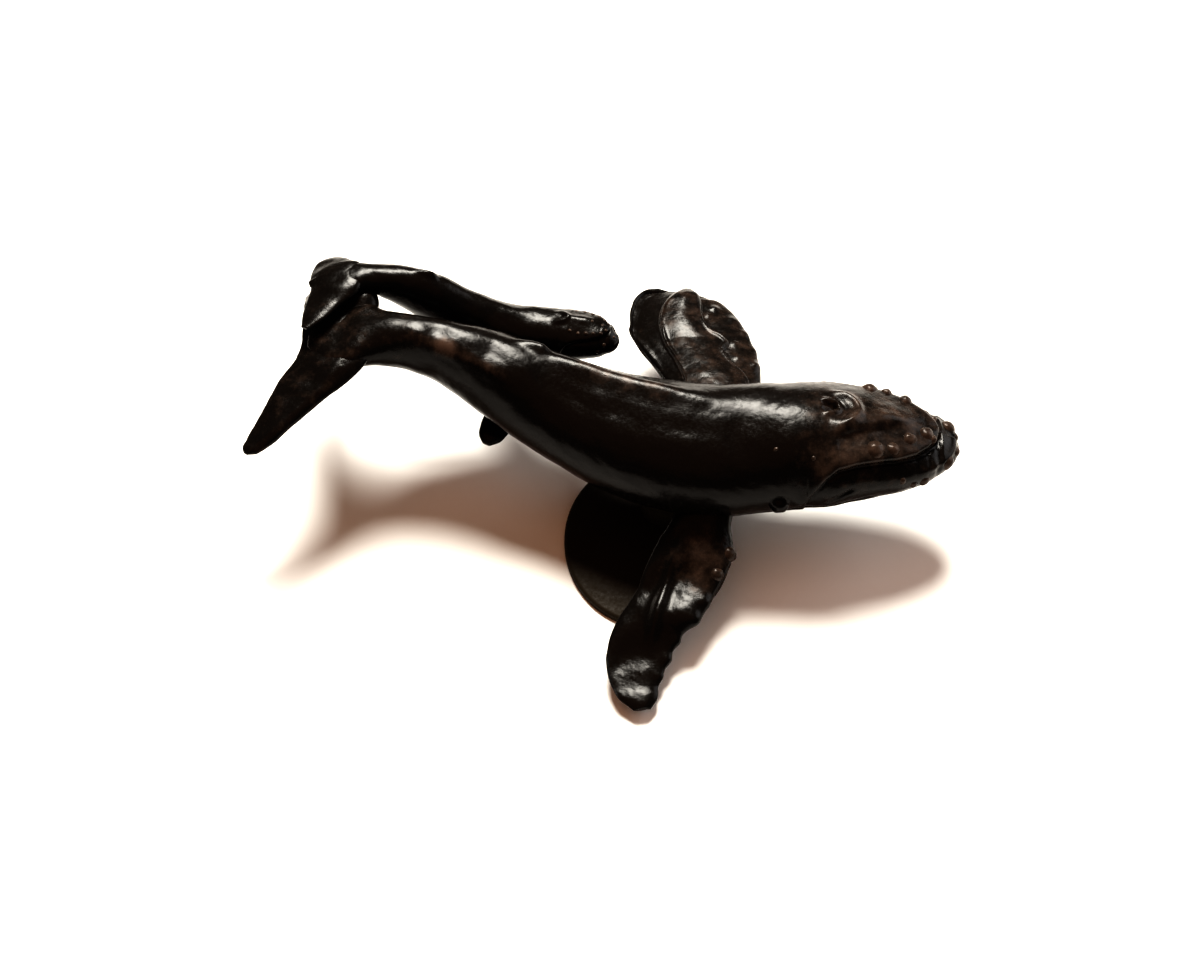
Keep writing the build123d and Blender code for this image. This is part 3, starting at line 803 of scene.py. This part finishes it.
# Ridge of the rostrum, splash guard, dorsal fin and spine: marks, width, height, fading ends
calf_folds = [
    ([(-12.0, 0), (-9.0, 0), (-6.5, 0)], 0.8, 0.3, (0.4, 0.4)),
    ([(-13.4, -14), (-11.4, -10), (-10.8, 0), (-11.4, 10), (-13.4, 14)], 0.4, 0.3, (0.3, 0.3)),
    ([(-33.8, -4), (-31.6, -6), (-30.0, -4)], 0.6, 0.6, (0.6, 0.3)),
    ([(-26.0, 0), (-20.0, 0), (-15.0, 0)], 1.2, 0.15, (0.3, 0.3)),
]
for marks, width, height, fade in calf_folds:
    calf_lift += crease(calf, spots(calf, calf_line, marks), width, height, fade)
for side in (1, -1):
    eye, pit = spots(calf, calf_line, [(-12.6, 96), (-12.6, 106)], side)
    calf_lift += swell(calf, eye, radius=0.6, height=0.4) + swell(calf, pit, radius=0.2, height=-0.25)
calf_lift += hand_marks(calf, 4.0, 0.025, seed=11) + hand_marks(calf, 1.4, 0.006, seed=12)

# Flukes of the calf, left tip to right tip, run together with its tail stock
calf_fluke_rows = [
    (-43.4, 31.3, 24.4, 0.9, 0.3),
    (-43.5, 30.6, 24.6, 2.0, 0.5),
    (-43.6, 29.0, 24.8, 2.9, 0.65),
    (-43.1, 26.7, 25.0, 3.8, 0.85),
    (-43.2, 24.8, 24.9, 3.4, 0.8),
    (-44.2, 22.4, 24.8, 2.6, 0.65),
    (-45.4, 19.5, 24.7, 1.7, 0.5),
    (-46.4, 17.4, 24.6, 0.6, 0.3),
]
calf_fluke_rub = 0.15
calf_rub = 0.05
calf_flukes = limb_rings(calf_fluke_rows, np.linspace(0, 1, 160), 80, pitch=8.0, thin=0.4)
calf_fluke_lift = hand_marks(calf_flukes, 3.0, 0.02, seed=13)
calf_stock = calf_line[:, 0] < -36
calf_fluke_lift += run_together(calf_flukes, calf[calf_stock], reach=1.2, height=0.35)
calf_lift[calf_stock] += run_together(calf[calf_stock], calf_flukes, reach=0.9, height=0.25)
calf_flukes = calf_flukes + ring_normals(calf_flukes) * calf_fluke_lift[..., None]
skin_object("calf_flukes", calf_flukes, calf_bronze, calf_fluke_rub)

calf = calf + ring_normals(calf) * calf_lift[..., None]
calf_body = skin_object("calf_body_skin", calf, calf_bronze, calf_rub)
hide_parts("calf_body")

# Knobs of the calf's snout, lips and jaw, on both sides except along the middle
calf_head_knobs = [
    (-10.2, 34, 0.3), (-9.0, 38, 0.35), (-8.0, 36, 0.4), (-7.0, 34, 0.35), (-6.2, 28, 0.35), (-5.6, 16, 0.3),
    (-7.6, 0, 0.3), (-6.2, 0, 0.3), (-5.4, 70, 0.35), (-4.5, 30, 0.3), (-6.4, 92, 0.35),
]
calf_outward = ring_normals(calf)
calf_tubercles = []
for knob in calf_head_knobs:
    sides = (1, -1) if knob[1] else (1,)
    for side in sides:
        calf_tubercles.append(knob_on(calf, calf_line, calf_outward, knob, side))
knob_piece("calf_tubercles", calf_tubercles, calf_bronze, unevenness=0.2)


# Calf's flippers. Two small bronze blades, pinned and brazed to the calf's sides, with the right one under
# the cow's tail stock.
calf_right_rows = [
    (-15.8, 23.6, 14.6, 1.9, 1.1),
    (-17.6, 20.6, 11.9, 2.1, 0.9),
    (-20.0, 16.6, 9.4, 2.1, 0.9),
    (-21.6, 13.4, 8.3, 2.0, 0.95),
    (-22.2, 12.2, 7.9, 1.5, 0.85),
    (-22.5, 11.4, 7.7, 0.6, 0.4),
]
calf_left_rows = [
    (-15.4, 25.8, 15.4, 1.9, 1.1),
    (-17.2, 28.4, 15.0, 2.1, 0.9),
    (-20.2, 30.8, 14.2, 2.2, 0.75),
    (-23.2, 32.6, 13.1, 1.6, 0.6),
    (-24.4, 33.1, 12.7, 0.7, 0.35),
]
calf_flipper_pitch = 10.0
calf_flipper_rub = 0.15
for name, rows, pitch in (
    ("calf_right_flipper", calf_right_rows, -calf_flipper_pitch),
    ("calf_left_flipper", calf_left_rows, calf_flipper_pitch),
):
    blade = limb_rings(rows, np.linspace(0, 1, 80), 56, pitch=pitch, thin=0.3)
    flipper = skin_object(name + "_blade", blade, calf_bronze, calf_flipper_rub)
    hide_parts(name)


# Floor, light and camera. A pale sheet under a window that stands high behind the whales, with a lower one
# at the right and a faint warm fill from the room, seen from half above.
floor_mesh = bpy.data.meshes.new("floor")
floor_mesh.from_pydata([(-2, -2, 0), (2, -2, 0), (2, 2, 0), (-2, 2, 0)], [], [(0, 1, 2, 3)])
floor = bpy.data.objects.new("floor", floor_mesh)
bpy.context.scene.collection.objects.link(floor)

# Matt white paper: bright and even, with soft shadows and no shine
paper = bpy.data.materials.new("matt white paper")
paper.use_nodes = True
paper.node_tree.nodes["Principled BSDF"].inputs["Base Color"].default_value = linear("#f4f4f2")
paper.node_tree.nodes["Principled BSDF"].inputs["Roughness"].default_value = 0.9
floor_mesh.materials.append(paper)

room = bpy.data.worlds.new("room")
room.use_nodes = True
room.node_tree.nodes["Background"].inputs["Color"].default_value = linear("#ffe3cf")
room.node_tree.nodes["Background"].inputs["Strength"].default_value = 0.15
bpy.context.scene.world = room

# Lamps: degrees from straight up, degrees round from +X, power in watts, width in metres, colour
lamp_distance = 1.0
lamps = [
    ("window", 34.5, 92.0, 20.0, 0.39, "#fffaf0"),
    ("side window", 66.0, 25.0, 3.5, 0.8, "#fdfdff"),
    ("room lamp", 22.0, 235.0, 1.4, 1.4, "#ff9c50"),
]
for name, from_zenith, heading, power, width, colour in lamps:
    lamp_data = bpy.data.lights.new(name, "AREA")
    lamp_data.shape = "DISK"
    lamp_data.size = width
    lamp_data.energy = power
    lamp_data.color = linear(colour)[:3]
    lamp = bpy.data.objects.new(name, lamp_data)
    lamp.rotation_euler = (0, math.radians(from_zenith), math.radians(heading))
    lamp.location = lamp.rotation_euler.to_matrix() @ Vector((0, 0, lamp_distance))
    bpy.context.scene.collection.objects.link(lamp)

camera_data = bpy.data.cameras.new("camera")
camera_data.sensor_width = 36.0
camera_data.lens = 54.6
camera_data.clip_start = 0.01
camera = bpy.data.objects.new("camera", camera_data)
camera.location = (-6.645 * MM, -155.80 * MM, 199.17 * MM)
camera.rotation_euler = (math.radians(40), 0, 0)
bpy.context.scene.collection.objects.link(camera)
bpy.context.scene.camera = camera
bpy.context.scene.view_settings.view_transform = "Standard"
bpy.context.scene.view_settings.look = "High Contrast"
